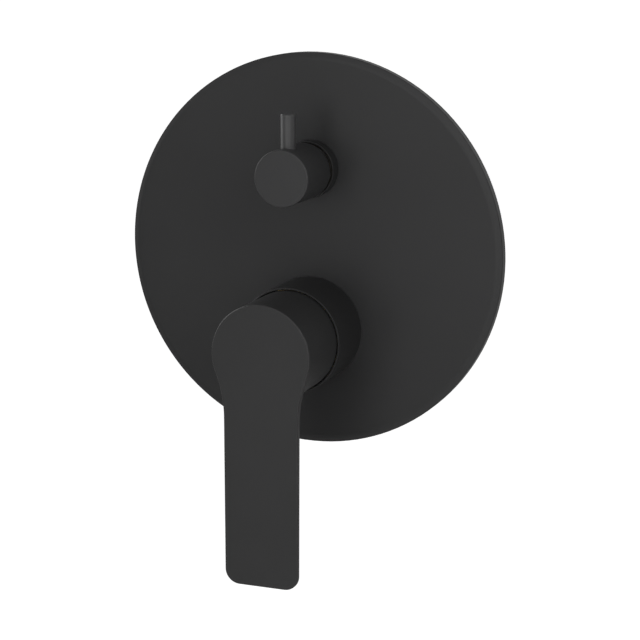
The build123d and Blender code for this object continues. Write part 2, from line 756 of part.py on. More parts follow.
# Handle outline: the hub's circle runs into the lever's sides through an arc that touches both
neck_x = lever_half + lever_neck_r
neck_z = -sqrt((hub_r + lever_neck_r) ** 2 - neck_x**2)
touch_x = hub_r * neck_x / (hub_r + lever_neck_r)
touch_z = hub_r * neck_z / (hub_r + lever_neck_r)
neck_centre = Vector(neck_x, neck_z)
neck_mid = neck_centre - (neck_centre.normalized() + Vector(1, 0)).normalized() * lever_neck_r
corner_z = lever_corner_r - lever_reach
corner_x = lever_half - lever_corner_r
corner_cut = lever_corner_r * sin(radians(45))
blade_back = hub_front - lever_thickness
edge_back = hub_front - lever_edge
past_front = hub_front + lever_edge
with BuildPart() as lever_handle:
    # the blade's crowned section, thick in the middle and thin at its sides, runs down and forward
    with BuildSketch(upright_plane(0, mixer_z)):
        with BuildLine():
            ThreePointArc((-lever_half, -edge_back), (0, -blade_back), (lever_half, -edge_back))
            Polyline(
                (lever_half, -edge_back),
                (hub_r, -edge_back),
                (hub_r, -past_front),
                (-hub_r, -past_front),
                (-hub_r, -edge_back),
                (-lever_half, -edge_back),
            )
        make_face()
    extrude(amount=lever_reach + lever_edge, dir=(0, -lever_taper / lever_reach, -1))
    with BuildSketch(face_plane(hub_front - lever_thickness - lever_edge, mixer_z)):
        with BuildLine():
            Polyline((touch_x, touch_z), (0, 0), (-touch_x, touch_z))
            ThreePointArc((-touch_x, touch_z), (-neck_mid.X, neck_mid.Y), (-lever_half, neck_z))
            Line((-lever_half, neck_z), (-lever_half, corner_z))
            ThreePointArc(
                (-lever_half, corner_z),
                (-corner_x - corner_cut, corner_z - corner_cut),
                (-corner_x, -lever_reach),
            )
            Line((-corner_x, -lever_reach), (corner_x, -lever_reach))
            ThreePointArc(
                (corner_x, -lever_reach),
                (corner_x + corner_cut, corner_z - corner_cut),
                (lever_half, corner_z),
            )
            Line((lever_half, corner_z), (lever_half, neck_z))
            ThreePointArc((lever_half, neck_z), (neck_mid.X, neck_mid.Y), (touch_x, touch_z))
        make_face()
    extrude(amount=lever_thickness + lever_edge, mode=Mode.INTERSECT)
    with BuildSketch(face_plane(hub_back, mixer_z)):
        Circle(hub_r)
    extrude(amount=hub_front - hub_back)
    front_face = lever_handle.faces().sort_by(Axis.Y)[0]
    fillet(front_face.edges(), hub_edge)
    # a fillet where the blade's back leaves the hub
    root = lever_handle.edges().filter_by(GeomType.BSPLINE).sort_by(Axis.Z)[-1]
    fillet(root, lever_root_r)
    # hollow hub with a boss for the stem's socket and a pillar for the grub screw
    with BuildSketch(face_plane(hub_back, mixer_z)):
        Circle(cavity_r)
    extrude(amount=cavity_front - hub_back, mode=Mode.SUBTRACT)
    with BuildSketch(face_plane(socket_boss_back, mixer_z)):
        Circle(socket_boss_r)
    extrude(amount=cavity_front - socket_boss_back)
    pillar_back = grub_station - grub_pillar / 2
    with BuildSketch(face_plane(pillar_back, mixer_z)):
        with Locations((0, -hub_r / 2)):
            Rectangle(grub_pillar, hub_r)
        Circle(hub_middle_r, mode=Mode.INTERSECT)
    extrude(amount=cavity_front - pillar_back)
    with BuildSketch(face_plane(socket_boss_back, mixer_z)):
        Rectangle(stem_width + 2 * key_gap, stem_thickness + 2 * key_gap)
    extrude(amount=stem_front + loose_fit - socket_boss_back, mode=Mode.SUBTRACT)
    with BuildSketch(upright_plane(grub_station, mixer_z)):
        Circle(grub_r + running_fit)
    extrude(amount=-hub_r, mode=Mode.SUBTRACT)
    with BuildSketch(upright_plane(grub_station, mixer_z - hub_r)):
        Circle(plug_r + running_fit)
    extrude(amount=plug_hole_depth, mode=Mode.SUBTRACT)
save(lever_handle.part, "lever_handle")

# Its grub screw bears on the stem's flat from below
grub_top = mixer_z - stem_half
with BuildPart() as handle_grub_screw:
    with BuildSketch(upright_plane(grub_station, grub_top)):
        Circle(grub_r)
    extrude(amount=-grub_length)
    chamfer(handle_grub_screw.faces().sort_by(Axis.Z)[-1].edges(), screw_chamfer)
    with BuildSketch(upright_plane(grub_station, grub_top - grub_length)):
        RegularPolygon(hex_key / 2, 6, major_radius=False)
    extrude(amount=hex_key_depth, mode=Mode.SUBTRACT)
save(handle_grub_screw.part, "handle_grub_screw")

# A plug closes the screw's hole, with an outer end that follows the hub
with BuildPart() as screw_plug:
    with BuildSketch(upright_plane(grub_station, mixer_z - hub_r)):
        Circle(plug_r)
    extrude(amount=plug_length)
    with BuildSketch(face_plane(hub_back, mixer_z)):
        Circle(hub_r - plug_inset)
    extrude(amount=hub_front - hub_back, mode=Mode.INTERSECT)
save(screw_plug.part, "screw_plug")

# Diverter bonnet: threaded shank and disc room behind, hexagon, and a nose that carries the sleeve
diverter_ring_r = diverter_sleeve_bore_r - seal_gap - oring_cord / 2
with BuildPart() as diverter_bonnet:
    with BuildSketch(face_plane(bonnet_back, diverter_z)):
        Circle(bonnet_shank_r)
    extrude(amount=bonnet_hex_back - bonnet_back)
    with BuildSketch(face_plane(bonnet_hex_back, diverter_z)):
        RegularPolygon(bonnet_hex / 2, 6, major_radius=False)
    extrude(amount=bonnet_hex_length)
    with BuildSketch(face_plane(bonnet_hex_back, diverter_z)):
        Circle(bonnet_nose_r)
    extrude(amount=bonnet_front - bonnet_hex_back)
    with BuildSketch(face_plane(bonnet_back, diverter_z)):
        Circle(bonnet_cavity_r)
    extrude(amount=bonnet_ceiling - bonnet_back, mode=Mode.SUBTRACT)
    with BuildSketch(face_plane(bonnet_back, diverter_z)):
        Circle(spindle_r + running_fit)
    extrude(amount=bonnet_front - bonnet_back, mode=Mode.SUBTRACT)
    groove_back = diverter_oring_station - oring_groove_width / 2
    with BuildSketch(face_plane(groove_back, diverter_z)):
        Circle(diverter_sleeve_r)
        Circle(diverter_ring_r - oring_cord / 2 - seal_gap, mode=Mode.SUBTRACT)
    extrude(amount=oring_groove_width, mode=Mode.SUBTRACT)
save(diverter_bonnet.part, "diverter_bonnet")

with BuildPart() as bonnet_oring:
    bonnet_ring_r = bonnet_shank_r + seal_gap + bonnet_oring_cord / 2
    with BuildSketch(section_plane(diverter_z)):
        with Locations((bonnet_ring_r, bonnet_hex_back - seal_gap - bonnet_oring_cord / 2)):
            Circle(bonnet_oring_cord / 2)
    revolve(axis=diverter_axis)
save(bonnet_oring.part, "bonnet_oring")

with BuildPart() as diverter_sleeve_oring:
    with BuildSketch(section_plane(diverter_z)):
        with Locations((diverter_ring_r, diverter_oring_station)):
            Circle(oring_cord / 2)
    revolve(axis=diverter_axis)
save(diverter_sleeve_oring.part, "diverter_sleeve_oring")

# The diverter's sleeve has a thin mouth too, which leaves a dark gap behind the knob
with BuildPart() as diverter_sleeve:
    with BuildSketch(section_plane(diverter_z)):
        with BuildLine():
            Polyline(
                (diverter_sleeve_bore_r, plate_depth),
                (diverter_sleeve_r, plate_depth),
                (diverter_sleeve_r, diverter_sleeve_front - sleeve_edge),
                (diverter_sleeve_r - sleeve_edge, diverter_sleeve_front),
                (diverter_sleeve_r - diverter_sleeve_lip, diverter_sleeve_front),
                (diverter_sleeve_r - diverter_sleeve_lip, diverter_sleeve_step + diverter_sleeve_lip),
                (diverter_sleeve_bore_r, diverter_sleeve_step),
                close=True,
            )
        make_face()
    revolve(axis=diverter_axis)
save(diverter_sleeve.part, "diverter_sleeve")


def ported_disc(back, thickness):
    """A seal or disc with three ways through it: the middle one feeds and the others lead out."""
    with BuildPart() as disc:
        with BuildSketch(face_plane(back, diverter_z)):
            Circle(diverter_disc_r)
            with Locations((0, 0), (0, diverter_way_offset), (diverter_way_offset, 0)):
                Circle(diverter_way_r, mode=Mode.SUBTRACT)
        extrude(amount=thickness)
    return disc.part


# Diverter discs: a seal on the chamber's floor, a fixed disc and the disc that the spindle turns
save(ported_disc(diverter_floor, diverter_seal_thickness), "diverter_seal")
save(ported_disc(diverter_fixed_back, diverter_disc), "diverter_fixed_disc")

recess_r = diverter_way_r + loose_fit
with BuildPart() as diverter_moving_disc:
    with BuildSketch(face_plane(diverter_moving_back, diverter_z)):
        Circle(diverter_disc_r)
    extrude(amount=diverter_disc)
    with BuildSketch(face_plane(diverter_moving_back, diverter_z)):
        with Locations((0, diverter_way_offset / 2)):
            SlotCenterToCenter(diverter_way_offset, 2 * recess_r, rotation=90)
    extrude(amount=diverter_recess_depth, mode=Mode.SUBTRACT)
    tongue_slot_back = spindle_foot_back - disc_film - drive_tongue
    with BuildSketch(face_plane(tongue_slot_back, diverter_z)):
        Rectangle(2 * diverter_disc_r, drive_tongue_width + key_gap)
    extrude(amount=drive_tongue, mode=Mode.SUBTRACT)
save(diverter_moving_disc.part, "diverter_moving_disc")

# Diverter spindle: a foot with a tongue, a shaft with grooves for its ring and clip, and a flat
spindle_ring_r = spindle_r - spindle_oring_cord / 2
ring_groove_r = spindle_ring_r - spindle_oring_cord / 2 - seal_gap
ring_groove_back = spindle_oring_station - spindle_groove_width / 2
clip_groove_back = clip_back - seal_gap
with BuildPart() as diverter_spindle:
    with BuildSketch(section_plane(diverter_z)):
        with BuildLine():
            Polyline(
                (0, spindle_foot_back),
                (diverter_disc_r, spindle_foot_back),
                (diverter_disc_r, spindle_foot_front),
                (spindle_r, spindle_foot_front),
                (spindle_r, ring_groove_back),
                (ring_groove_r, ring_groove_back),
                (ring_groove_r, ring_groove_back + spindle_groove_width),
                (spindle_r, ring_groove_back + spindle_groove_width),
                (spindle_r, clip_groove_back),
                (clip_groove_r, clip_groove_back),
                (clip_groove_r, clip_groove_back + clip_thickness + 2 * seal_gap),
                (spindle_r, clip_groove_back + clip_thickness + 2 * seal_gap),
                (spindle_r, spindle_front - spindle_end_chamfer),
                (spindle_r - spindle_end_chamfer, spindle_front),
                (0, spindle_front),
                close=True,
            )
        make_face()
    revolve(axis=diverter_axis)
    with BuildSketch(face_plane(spindle_foot_back, diverter_z)):
        Rectangle(2 * diverter_disc_r, drive_tongue_width)
        Circle(diverter_disc_r, mode=Mode.INTERSECT)
    extrude(amount=-(drive_tongue - seal_gap))
    with BuildSketch(face_plane(spindle_flat_back, diverter_z)):
        with Locations((0, -spindle_flat - spindle_r / 2)):
            Rectangle(2 * spindle_r, spindle_r)
    extrude(amount=spindle_front - spindle_flat_back, mode=Mode.SUBTRACT)
save(diverter_spindle.part, "diverter_spindle")

with BuildPart() as spindle_oring:
    with BuildSketch(section_plane(diverter_z)):
        with Locations((spindle_ring_r, spindle_oring_station)):
            Circle(spindle_oring_cord / 2)
    revolve(axis=diverter_axis)
save(spindle_oring.part, "spindle_oring")

# An open clip in the spindle's groove keeps it in the bonnet
with BuildPart() as spindle_clip:
    with BuildSketch(face_plane(clip_back, diverter_z)):
        Circle(clip_r)
        Circle(clip_groove_r + running_fit, mode=Mode.SUBTRACT)
        with Locations((0, -clip_r)):
            Rectangle(clip_mouth, 2 * clip_r, mode=Mode.SUBTRACT)
    extrude(amount=clip_thickness)
save(spindle_clip.part, "spindle_clip")

# The knob is turned from bar: a narrow neck behind it leaves a shadow gap in front of the sleeve
with BuildPart() as diverter_knob:
    with BuildSketch(face_plane(knob_back, diverter_z)):
        Circle(knob_r)
    extrude(amount=knob_front - knob_back)
    fillet(diverter_knob.edges(), knob_edge)
    with BuildSketch(face_plane(knob_neck_back, diverter_z)):
        Circle(knob_neck_r)
    extrude(amount=knob_neck_length)
    with BuildSketch(face_plane(knob_neck_back, diverter_z)):
        Circle(spindle_r + running_fit)
    extrude(amount=spindle_front + loose_fit - knob_neck_back, mode=Mode.SUBTRACT)
    with BuildSketch(face_plane(knob_neck_back, diverter_z)):
        Circle(clip_r + loose_fit)
    extrude(amount=clip_thickness, mode=Mode.SUBTRACT)
    with BuildSketch(upright_plane(knob_pin_station, diverter_z + knob_pin_seat)):
        Circle(knob_pin_r + running_fit)
    extrude(amount=knob_r, mode=Mode.SUBTRACT)
    with BuildSketch(upright_plane(knob_pin_station, diverter_z + knob_pin_seat)):
        Circle(knob_pin_stud_r + running_fit)
    extrude(amount=-(knob_pin_stud_length + loose_fit), mode=Mode.SUBTRACT)
    with BuildSketch(upright_plane(knob_grub_station, diverter_z)):
        Circle(knob_grub_r + running_fit)
    extrude(amount=-knob_r, mode=Mode.SUBTRACT)
save(diverter_knob.part, "diverter_knob")

# The pin stands up from a spot face and is held by its stud
with BuildPart() as knob_pin:
    with BuildSketch(upright_plane(knob_pin_station, diverter_z + knob_pin_seat)):
        Circle(knob_pin_r)
    extrude(amount=knob_pin_length)
    chamfer(knob_pin.faces().sort_by(Axis.Z)[-1].edges(), knob_pin_edge)
    with BuildSketch(upright_plane(knob_pin_station, diverter_z + knob_pin_seat)):
        Circle(knob_pin_stud_r)
    extrude(amount=-knob_pin_stud_length)
save(knob_pin.part, "knob_pin")

# The knob's grub screw bears on the spindle's flat from below
knob_grub_top = diverter_z - spindle_flat
with BuildPart() as knob_grub_screw:
    with BuildSketch(upright_plane(knob_grub_station, knob_grub_top)):
        Circle(knob_grub_r)
    extrude(amount=-knob_grub_length)
    chamfer(knob_grub_screw.faces().sort_by(Axis.Z)[-1].edges(), screw_chamfer)
    with BuildSketch(upright_plane(knob_grub_station, knob_grub_top - knob_grub_length)):
        RegularPolygon(hex_key / 2, 6, major_radius=False)
    extrude(amount=hex_key_depth, mode=Mode.SUBTRACT)
save(knob_grub_screw.part, "knob_grub_screw")
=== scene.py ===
import json
import math

import bmesh
import bpy
from mathutils import Matrix, Vector


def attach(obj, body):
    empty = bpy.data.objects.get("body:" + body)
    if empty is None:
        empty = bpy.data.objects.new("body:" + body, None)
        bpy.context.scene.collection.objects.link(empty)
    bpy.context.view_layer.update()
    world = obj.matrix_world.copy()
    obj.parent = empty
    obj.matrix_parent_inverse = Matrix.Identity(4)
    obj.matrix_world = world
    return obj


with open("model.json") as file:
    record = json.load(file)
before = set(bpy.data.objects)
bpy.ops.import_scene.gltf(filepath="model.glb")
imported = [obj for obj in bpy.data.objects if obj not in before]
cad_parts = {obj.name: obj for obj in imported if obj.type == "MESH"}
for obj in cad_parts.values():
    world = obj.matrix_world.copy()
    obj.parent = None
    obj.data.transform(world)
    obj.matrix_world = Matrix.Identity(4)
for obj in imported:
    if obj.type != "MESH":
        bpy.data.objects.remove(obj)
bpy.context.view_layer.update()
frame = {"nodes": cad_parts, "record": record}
scene = bpy.context.scene
scene.view_settings.view_transform = "Standard"
nodes = frame["nodes"]

# Layout, in metres: the two spindles, the pipes' plane and the four ports' faces
MIXER_Z = -0.036
DIVERTER_Z = 0.038
PIPE_Y = 0.035
INLET_X = 0.055
TOP_Z = 0.073
BOTTOM_Z = -0.084
PORT_R = 0.00932

# Where the casting is machined: in front of the seats' station, behind the pads' station, in the
# diverter's chamber, in the ports beyond their stations, and on the ports' faces
SEAT_Y = 0.0063
PAD_Y = 0.0518
CHAMBER_R = 0.01395
CHAMBER_Y = 0.0222
MOUTH_R = 0.0105
SIDE_PORT_X = 0.0385
TOP_PORT_Z = 0.0565
BOTTOM_PORT_Z = -0.0675
FACE_DEPTH = 0.0002

# The mould's parting line: where it ends beside the inlets' faces, and where its height falls off
PARTING_X = 0.0546
PARTING_FALL = (0.0002, 0.0006)

# Half-inch pipe thread in the sockets; the profile is (pitches along the axis, share of the rise)
THREAD_PITCH = 0.001814
THREAD_RISE = 0.0005
THREAD_ROOT = 0.00012
THREAD_START = 0.0021
THREAD_TURNS = 6.5
THREAD_STEPS = 64
THREAD_PROFILE = ((-0.47, 0), (-0.13, 0.85), (-0.07, 1), (0.07, 1), (0.13, 0.85), (0.47, 0))

# Threads that other pieces cover, drawn as bump: the spindle, a span of radius, a span of y
NECK_THREAD = (MIXER_Z, (0.0196, 0.0203), (-0.0212, -0.0063))
CHAMBER_THREAD = (DIVERTER_Z, (0.0117, 0.0122), (0.0081, 0.0171))
BONNET_THREAD = (DIVERTER_Z, (0.0117, 0.0121), (0.0064, 0.0168))
COVERED_PITCH = 0.0015

# The grub screws' threads, also bump: the screw's y, a span of radius, a span of z
SCREW_THREADS = (
    (-0.053, (0.0023, 0.0026), (-0.049, -0.040)),
    (-0.024, (0.0018, 0.0021), (0.029, 0.0347)),
)
SCREW_PITCH = 0.0008

# Textures: two spans that noise mostly keeps to, the waves of tool marks, the reach of worn edges
WIDE = (0.3, 0.7)
NARROW = (0.35, 0.65)
BRASS_MARKS = 0.00022
CASTING_MARKS = 0.00025
WEAR_REACH = 0.0007

# Paints: the slot, the tone, and roughness and specular level where they aren't the usual ones
# The tones differ from part to part. The knob's, the handle's and the pin's lighter tones are
# partly painted light, for the extra light that these raised parts catch, and partly their own
# finish.
PAINTS = (
    ("black_plate", (0.0155, 0.0155, 0.0158)),
    ("black_trim", (0.015, 0.015, 0.0153)),
    ("black_handle", (0.0188, 0.0188, 0.019)),
    ("black_knob", (0.0225, 0.0225, 0.0229)),
    ("black_pin", (0.033, 0.033, 0.0335), 0.36, 0.23),
)

# Plastics and rubber: the slot, the dark and the light tone, the roughness
PLASTICS = (
    ("black_plug", (0.028, 0.028, 0.03), (0.034, 0.034, 0.036), 0.55),
    ("rubber_seal", (0.02, 0.02, 0.022), (0.03, 0.03, 0.032), 0.6),
    ("casing_plastic", (0.74, 0.74, 0.71), (0.80, 0.80, 0.77), 0.45),
    ("base_plastic", (0.66, 0.67, 0.66), (0.73, 0.74, 0.73), 0.45),
    ("carrier_plastic", (0.18, 0.2, 0.23), (0.22, 0.24, 0.27), 0.4),
    ("turret_plastic", (0.82, 0.81, 0.77), (0.87, 0.86, 0.82), 0.4),
)

# The photograph's own view, fitted to the plate's and the handle's outlines
CAMERA_PLACE = (0.3211, -0.8285, 0.1621)
CAMERA_BACK = (0.35092, -0.91145, 0.21476)
CAMERA_LENS = 110.84

# How bright the surroundings are: the world as light, both as reflections, the floor when seen
WORLD_LEVEL = 0.22
WORLD_GLOSS = 0.7
FLOOR_GLOSS = 0.35
FLOOR_GLOW = 0.85

# The floor's height and half its width
FLOOR_Z = -1.2
FLOOR_REACH = 60.0

# The lamps' names, places, widths, heights and watts; all are aimed at one point
LAMP_AIM = (0, 0, -0.02)
LAMPS = (
    ("front", (0.0, -1.7, 0.2), 1.2, 1.2, 12.4),
    ("front_right", (1.1, -1.3, 0.4), 0.9, 1.2, 11.4),
    ("front_low", (0.3, -1.5, -0.8), 1.2, 0.8, 4.6),
    ("left", (-1.7, -0.3, 0.3), 0.9, 1.2, 12.0),
    ("left_back", (-1.4, 0.6, 0.5), 0.6, 1.0, 7.0),
    ("right", (1.7, -0.3, 0.3), 0.9, 1.2, 1.4),
    ("right_back", (1.4, 0.6, 0.5), 0.6, 1.0, 4.5),
    ("top", (0.0, -0.4, 1.6), 1.2, 0.9, 0.2),
    ("top_left", (-0.9, -0.9, 1.2), 0.9, 0.9, 1.2),
    ("top_right", (0.9, -0.9, 1.2), 0.9, 0.9, 1.0),
)


# ---------------------------------------------------------------- camera
def make_camera():
    """The scene's camera, held level at the photograph's place."""
    data = bpy.data.cameras.new("photo_camera")
    camera = bpy.data.objects.new("photo_camera", data)
    scene.collection.objects.link(camera)
    back = Vector(CAMERA_BACK).normalized()
    right = Vector((0, 0, 1)).cross(back).normalized()
    up = back.cross(right)
    turn = Matrix((right, up, back)).transposed().to_4x4()
    camera.matrix_world = Matrix.Translation(CAMERA_PLACE) @ turn
    data.sensor_fit = "HORIZONTAL"
    data.sensor_width = 36
    data.lens = CAMERA_LENS
    data.clip_start = 0.01
    data.clip_end = 100
    scene.camera = camera


# ---------------------------------------------------------------- materials
class Nodes:
    """Short calls for building one material's node tree."""

    def __init__(self, name):
        self.material = bpy.data.materials.new(name)
        self.material.use_nodes = True
        self.tree = self.material.node_tree
        self.tree.nodes.clear()
        self.output = self.tree.nodes.new("ShaderNodeOutputMaterial")
        self.shader = self.tree.nodes.new("ShaderNodeBsdfPrincipled")
        self.link(self.shader.outputs[0], self.output.inputs["Surface"])
        self.place = self.tree.nodes.new("ShaderNodeTexCoord").outputs["Object"]

    def link(self, source, target):
        self.tree.links.new(source, target)

    def put(self, socket, value):
        """Fill a socket from a node's output or with a plain value."""
        if isinstance(value, bpy.types.NodeSocket):
            self.link(value, socket)
        else:
            socket.default_value = value

    # arithmetic
    def math(self, operation, a, b=0.0, clamp=False):
        node = self.tree.nodes.new("ShaderNodeMath")
        node.operation = operation
        node.use_clamp = clamp
        for socket, value in zip(node.inputs, (a, b)):
            self.put(socket, value)
        return node.outputs[0]

    def add(self, a, b, clamp=False):
        return self.math("ADD", a, b, clamp)

    def minus(self, a, b):
        return self.math("SUBTRACT", a, b)

    def times(self, a, b):
        return self.math("MULTIPLY", a, b)

    def magnitude(self, a):
        return self.math("ABSOLUTE", a)

    def length(self, u, v):
        return self.math("SQRT", self.add(self.math("POWER", u, 2.0), self.math("POWER", v, 2.0)))

    def span(self, value, low, high, from_low=0.0, from_high=1.0):
        """A value that runs from low to high while its source runs over its own span."""
        node = self.tree.nodes.new("ShaderNodeMapRange")
        for socket, v in zip(node.inputs, (value, from_low, from_high, low, high)):
            self.put(socket, v)
        return node.outputs[0]

    # masks, which are one inside and nought outside
    def above(self, value, limit):
        return self.math("GREATER_THAN", value, limit)

    def below(self, value, limit):
        return self.math("LESS_THAN", value, limit)

    def between(self, value, limits):
        low, high = limits
        return self.times(self.above(value, low), self.below(value, high))

    def choose(self, mask, outside, inside):
        """One value where the mask is nought and the other where it is one."""
        return self.add(outside, self.times(mask, self.minus(inside, outside)))

    # places on the part
    def axes(self):
        node = self.tree.nodes.new("ShaderNodeSeparateXYZ")
        self.link(self.place, node.inputs[0])
        return node.outputs

    def spindle_radius(self, spindle):
        """Distance from the axis of the spindle at this height."""
        x, _, z = self.axes()
        return self.length(x, self.minus(z, spindle))

    def nearer_radius(self):
        """Distance from the nearer spindle's axis."""
        mixer, diverter = self.spindle_radius(MIXER_Z), self.spindle_radius(DIVERTER_Z)
        return self.math("MINIMUM", mixer, diverter)

    def inlet_radius(self):
        """Distance from the axis that both inlets share."""
        _, y, z = self.axes()
        return self.length(self.minus(y, PIPE_Y), self.minus(z, MIXER_Z))

    def outlet_radius(self):
        """Distance from the axis that both outlets share."""
        x, y, _ = self.axes()
        return self.length(x, self.minus(y, PIPE_Y))

    def past_outlets(self):
        """A mask of the body's two ends, where the outlets' bores are."""
        z = self.axes()[2]
        return self.add(self.above(z, TOP_PORT_Z), self.below(z, BOTTOM_PORT_Z))

    def edges(self, reach):
        """How much the surface turns within a reach: nought on flats and more along edges."""
        soft = self.tree.nodes.new("ShaderNodeBevel")
        soft.samples = 6
        soft.inputs["Radius"].default_value = reach
        plain = self.tree.nodes.new("ShaderNodeNewGeometry").outputs["Normal"]
        product = self.tree.nodes.new("ShaderNodeVectorMath")
        product.operation = "DOT_PRODUCT"
        self.link(soft.outputs[0], product.inputs[0])
        self.link(plain, product.inputs[1])
        return self.minus(1.0, product.outputs["Value"])

    # patterns
    def noise(self, scale, detail, roughness=0.5, vector=None):
        node = self.tree.nodes.new("ShaderNodeTexNoise")
        self.link(vector or self.place, node.inputs["Vector"])
        node.inputs["Scale"].default_value = scale
        node.inputs["Detail"].default_value = detail
        node.inputs["Roughness"].default_value = roughness
        return node.outputs["Fac"]

    def cells(self, scale):
        node = self.tree.nodes.new("ShaderNodeTexVoronoi")
        self.link(self.place, node.inputs["Vector"])
        node.inputs["Scale"].default_value = scale
        return node.outputs["Distance"]

    def streaks(self, value, scale):
        """Noise that changes along one value only, such as a radius, and so runs in rings."""
        node = self.tree.nodes.new("ShaderNodeCombineXYZ")
        self.link(value, node.inputs["X"])
        return self.noise(scale, detail=3, roughness=0.7, vector=node.outputs[0])

    def marks(self, value, wave):
        """A cutting tool's even marks along one value."""
        return self.math("SINE", self.times(value, 2 * math.pi / wave))

    def thread(self, u, v, along, pitch):
        """The height of a screw thread whose axis is square to u and v."""
        turn = self.math("DIVIDE", self.math("ARCTAN2", u, v), 2 * math.pi)
        phase = self.math("FRACT", self.add(self.math("DIVIDE", along, pitch), turn))
        return self.magnitude(self.minus(phase, 0.5))

    def covered_thread(self, spindle, radii, stations):
        """A thread round a spindle, inside a span of radius and one of y."""
        x, y, z = self.axes()
        wall = self.between(self.spindle_radius(spindle), radii)
        wall = self.times(wall, self.between(y, stations))
        return self.times(self.thread(x, self.minus(z, spindle), y, COVERED_PITCH), wall)

    def screw_thread(self, screw_y, radii, heights):
        """An upright grub screw's thread, inside a span of radius and one of z."""
        x, y, z = self.axes()
        across = self.minus(y, screw_y)
        wall = self.times(self.between(self.length(x, across), radii), self.between(z, heights))
        return self.times(self.thread(x, across, z, SCREW_PITCH), wall)

    # looks
    def blend(self, factor, dark, light):
        node = self.tree.nodes.new("ShaderNodeMix")
        node.data_type = "RGBA"
        self.put(node.inputs["Factor"], factor)
        for name, color in (("A", dark), ("B", light)):
            self.put(node.inputs[name], (*color, 1) if isinstance(color, tuple) else color)
        return node.outputs["Result"]

    def bump(self, height, strength, distance, before=None):
        node = self.tree.nodes.new("ShaderNodeBump")
        node.inputs["Strength"].default_value = strength
        node.inputs["Distance"].default_value = distance
        self.put(node.inputs["Height"], height)
        if before:
            self.link(before, node.inputs["Normal"])
        return node.outputs[0]

    def finish(self, color, roughness, normal=None, metallic=0.0):
        self.put(self.shader.inputs["Base Color"], color)
        self.put(self.shader.inputs["Roughness"], roughness)
        self.shader.inputs["Metallic"].default_value = metallic
        if normal:
            self.link(normal, self.shader.inputs["Normal"])
        return self.material


def satin_black(name, tone, rough=0.42, shine=0.175):
    """Baked-on black paint: a fine orange peel, and a slow drift and a grain in tone and gloss."""
    n = Nodes(name)
    drift = n.noise(scale=18, detail=2)
    peel = n.noise(scale=900, detail=2)
    grain = n.noise(scale=4200, detail=2, roughness=0.6)
    mottle = n.add(n.span(drift, 0, 0.5, *WIDE), n.span(grain, 0, 0.5, *NARROW))
    color = n.blend(mottle, tuple(c * 0.88 for c in tone), tuple(c * 1.12 for c in tone))
    n.shader.inputs["Specular IOR Level"].default_value = shine
    gloss = n.span(drift, rough - 0.02, rough + 0.02, *WIDE)
    gloss = n.add(gloss, n.span(grain, -0.04, 0.04, *WIDE))
    normal = n.bump(peel, strength=0.16, distance=0.00008)
    normal = n.bump(grain, strength=0.35, distance=0.00003, before=normal)
    return n.finish(color, gloss, normal)


def turned_brass():
    """Turned brass: tool marks round the nearer spindle, and the bonnet's thread."""
    n = Nodes("turned_brass")
    path = n.add(n.nearer_radius(), n.axes()[1])
    patch = n.noise(scale=90, detail=3)
    streak = n.streaks(path, 1300)
    tone = n.add(n.span(patch, 0, 0.5, *NARROW), n.span(streak, 0, 0.5, *NARROW))
    color = n.blend(tone, (0.65, 0.49, 0.23), (0.76, 0.6, 0.32))
    gloss = n.add(n.span(streak, 0.19, 0.31, *NARROW), n.span(patch, -0.03, 0.05))
    normal = n.bump(n.marks(path, BRASS_MARKS), strength=0.18, distance=0.00001)
    ridge = n.covered_thread(*BONNET_THREAD)
    normal = n.bump(ridge, strength=1.0, distance=0.001, before=normal)
    return n.finish(color, gloss, normal, metallic=1.0)


def turned_steel():
    """Drawn and turned steel pins, screws and clips: fine scratches and the screws' threads."""
    n = Nodes("steel")
    scratch = n.noise(scale=2600, detail=2)
    patch = n.noise(scale=120, detail=2)
    color = n.blend(n.span(patch, 0, 1, *WIDE), (0.5, 0.5, 0.51), (0.6, 0.6, 0.61))
    normal = n.bump(scratch, strength=0.25, distance=0.00001)
    for screw in SCREW_THREADS:
        ridge = n.screw_thread(*screw)
        normal = n.bump(ridge, strength=1.0, distance=0.0006, before=normal)
    return n.finish(color, n.span(scratch, 0.24, 0.36, *WIDE), normal, metallic=1.0)


def machined_faces(n):
    """A mask of the casting's machined faces: all that isn't its raw, blasted skin."""
    x, y, z = n.axes()
    side = n.magnitude(x)
    chamber = n.below(n.spindle_radius(DIVERTER_Z), CHAMBER_R)
    masks = (
        n.below(y, SEAT_Y),
        n.above(y, PAD_Y),
        n.times(chamber, n.below(y, CHAMBER_Y)),
        n.times(n.below(n.inlet_radius(), MOUTH_R), n.above(side, SIDE_PORT_X)),
        n.times(n.below(n.outlet_radius(), MOUTH_R), n.past_outlets()),
        n.above(side, INLET_X - FACE_DEPTH),
        n.above(z, TOP_Z - FACE_DEPTH),
        n.below(z, BOTTOM_Z + FACE_DEPTH),
    )
    machined = masks[0]
    for mask in masks[1:]:
        machined = n.math("MAXIMUM", machined, mask)
    return machined


def tool_path(n):
    """The value that the casting's tool marks run along, round a spindle's or a port's axis."""
    x, y, z = n.axes()
    side = n.magnitude(x)
    path = n.add(n.nearer_radius(), y)
    path = n.choose(n.above(side, SIDE_PORT_X), path, n.add(n.inlet_radius(), side))
    return n.choose(n.past_outlets(), path, n.add(n.outlet_radius(), z))


